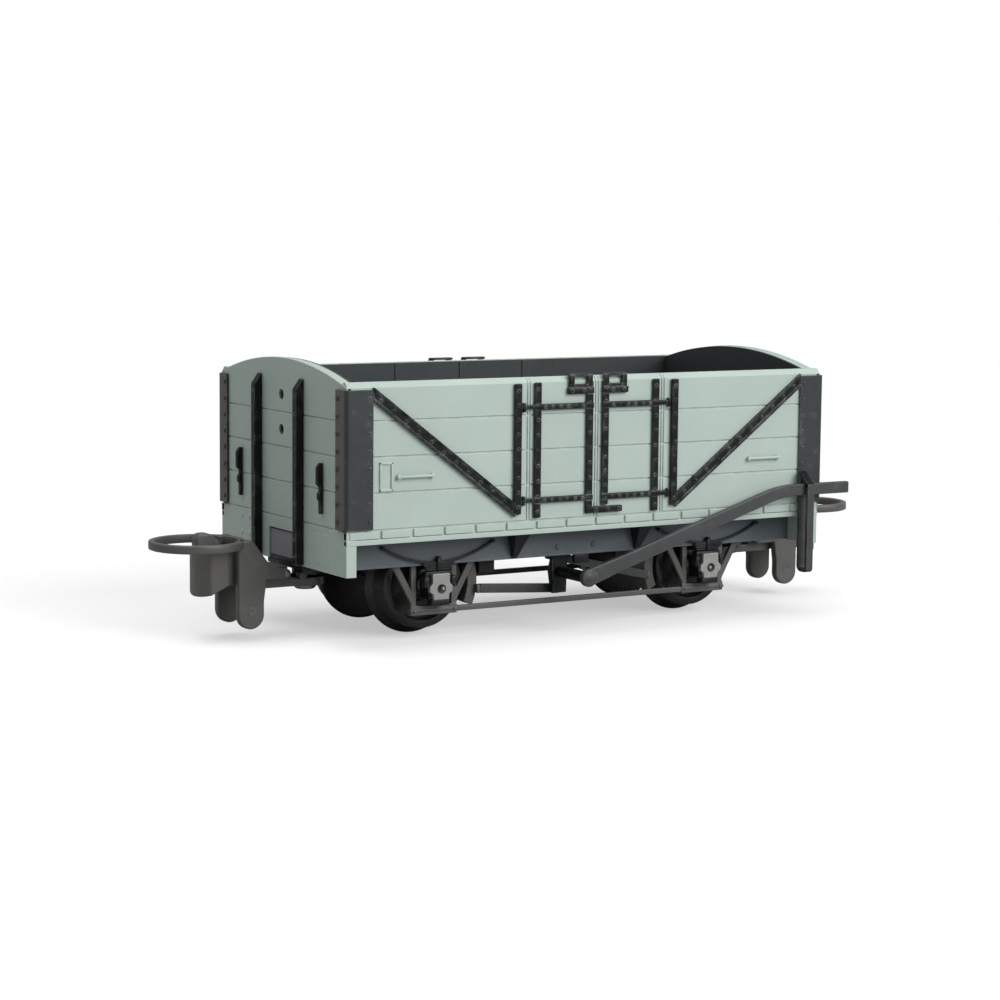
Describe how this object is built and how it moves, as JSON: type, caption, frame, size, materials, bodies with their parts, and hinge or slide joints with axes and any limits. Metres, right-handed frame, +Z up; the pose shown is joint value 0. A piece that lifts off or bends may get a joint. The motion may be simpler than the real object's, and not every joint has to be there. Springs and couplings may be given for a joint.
{
  "type": "model railway open wagon",
  "caption": "Open goods wagon for narrow-gauge model track: planked body with black iron straps, loop couplers and a side brake lever.",
  "frame": {"origin": "middle of the load floor's top face, in the middle of the wagon in length and width; rail top, where the wheel treads stand, is 8.6 mm below it", "axes": "+X towards the front end, +Y towards the left side, +Z up; the brake lever is on the right side (-Y) and its grip points to the front"},
  "size_m": [0.0642, 0.0234, 0.0212],
  "materials": {
    "body_paint": "satin grey-green paint on moulded plastic",
    "iron_paint": "charcoal black paint on fine moulded strapping",
    "tub_plastic": "matt black moulded plastic",
    "frame_plastic": "satin dark blue-grey moulded plastic",
    "gear_plastic": "satin warm dark grey moulded plastic",
    "axlebox_paint": "satin light grey paint with a metallic hint",
    "wheel_metal": "chemically blackened metal, brighter on the tread",
    "steel": "plain turned steel"
  },
  "bodies": {
    "wagon": {"body_shell": "body_paint", "inner_tub": "tub_plastic", "corner_plate_front_left": "iron_paint", "corner_plate_front_right": "iron_paint", "corner_plate_rear_left": "iron_paint", "corner_plate_rear_right": "iron_paint", "end_stanchion_front_left": "iron_paint", "end_stanchion_front_right": "iron_paint", "end_stanchion_rear_left": "iron_paint", "end_stanchion_rear_right": "iron_paint", "end_handle_front_left": "iron_paint", "end_handle_front_right": "iron_paint", "end_handle_rear_left": "iron_paint", "end_handle_rear_right": "iron_paint", "side_brace_front_left": "iron_paint", "side_brace_front_right": "iron_paint", "side_brace_rear_left": "iron_paint", "side_brace_rear_right": "iron_paint", "door_ironwork_front_left": "iron_paint", "door_ironwork_front_right": "iron_paint", "door_ironwork_rear_left": "iron_paint", "door_ironwork_rear_right": "iron_paint", "underframe": "frame_plastic", "ballast_plate": "steel", "axle_guard_front_left": "gear_plastic", "axle_guard_front_right": "gear_plastic", "axle_guard_rear_left": "gear_plastic", "axle_guard_rear_right": "gear_plastic", "axlebox_front_left": "axlebox_paint", "axlebox_front_right": "axlebox_paint", "axlebox_rear_left": "axlebox_paint", "axlebox_rear_right": "axlebox_paint", "leaf_spring_front_left": "frame_plastic", "leaf_spring_front_right": "frame_plastic", "leaf_spring_rear_left": "frame_plastic", "leaf_spring_rear_right": "frame_plastic", "tie_bar_left": "gear_plastic", "tie_bar_right": "gear_plastic", "coupler_screw_front": "steel", "coupler_screw_rear": "steel", "brake_hanger": "iron_paint", "lever_guide": "gear_plastic"},
    "wheelset_front": {"axle_front": "steel", "wheel_front_left": "wheel_metal", "wheel_front_right": "wheel_metal"},
    "wheelset_rear": {"axle_rear": "steel", "wheel_rear_left": "wheel_metal", "wheel_rear_right": "wheel_metal"},
    "coupler_front": {"coupler_body_front": "gear_plastic", "coupler_pin_front": "steel"},
    "coupler_rear": {"coupler_body_rear": "gear_plastic", "coupler_pin_rear": "steel"},
    "loop_front": {"coupler_loop_front": "gear_plastic"},
    "loop_rear": {"coupler_loop_rear": "gear_plastic"},
    "lever": {"brake_lever": "gear_plastic", "brake_shaft": "iron_paint"},
    "brake_front": {"push_rod_front": "gear_plastic", "brake_block_front": "gear_plastic"},
    "brake_rear": {"push_rod_rear": "gear_plastic", "brake_block_rear": "gear_plastic"}
  },
  "joints": [
    {"name": "wheelset_front_spin", "type": "hinge", "parent": "wagon", "child": "wheelset_front", "pos_m": [0.01242, 0, -0.00515], "axis": [0, 1, 0], "continuous": true},
    {"name": "wheelset_rear_spin", "type": "hinge", "parent": "wagon", "child": "wheelset_rear", "pos_m": [-0.01242, 0, -0.00515], "axis": [0, 1, 0], "continuous": true},
    {"name": "coupler_front_swing", "type": "hinge", "parent": "wagon", "child": "coupler_front", "pos_m": [0.0195, 0, -0.0048], "axis": [0, 0, 1], "range_deg": [-10, 10]},
    {"name": "coupler_rear_swing", "type": "hinge", "parent": "wagon", "child": "coupler_rear", "pos_m": [-0.0195, 0, -0.0048], "axis": [0, 0, 1], "range_deg": [-10, 10]},
    {"name": "loop_front_lift", "type": "hinge", "parent": "coupler_front", "child": "loop_front", "pos_m": [0.0221, 0, -0.00424], "axis": [0, -1, 0], "range_deg": [0, 8]},
    {"name": "loop_rear_lift", "type": "hinge", "parent": "coupler_rear", "child": "loop_rear", "pos_m": [-0.0221, 0, -0.00424], "axis": [0, 1, 0], "range_deg": [0, 8]},
    {"name": "brake_lever_swing", "type": "hinge", "parent": "wagon", "child": "lever", "pos_m": [-0.00116, -0.009, -0.00471], "axis": [0, 1, 0], "range_deg": [0, 10]},
    {"name": "brake_front_push", "type": "slide", "parent": "wagon", "child": "brake_front", "axis": [1, 0, 0], "range_m": [0, 0.00022]},
    {"name": "brake_rear_push", "type": "slide", "parent": "wagon", "child": "brake_rear", "axis": [1, 0, 0], "range_m": [-0.00027, 0]}
  ],
  "couplings": [
    {"joint": "brake_front_push", "follows": "brake_lever_swing", "m_per_rad": 0.0012},
    {"joint": "brake_rear_push", "follows": "brake_lever_swing", "m_per_rad": -0.00149}
  ]
}
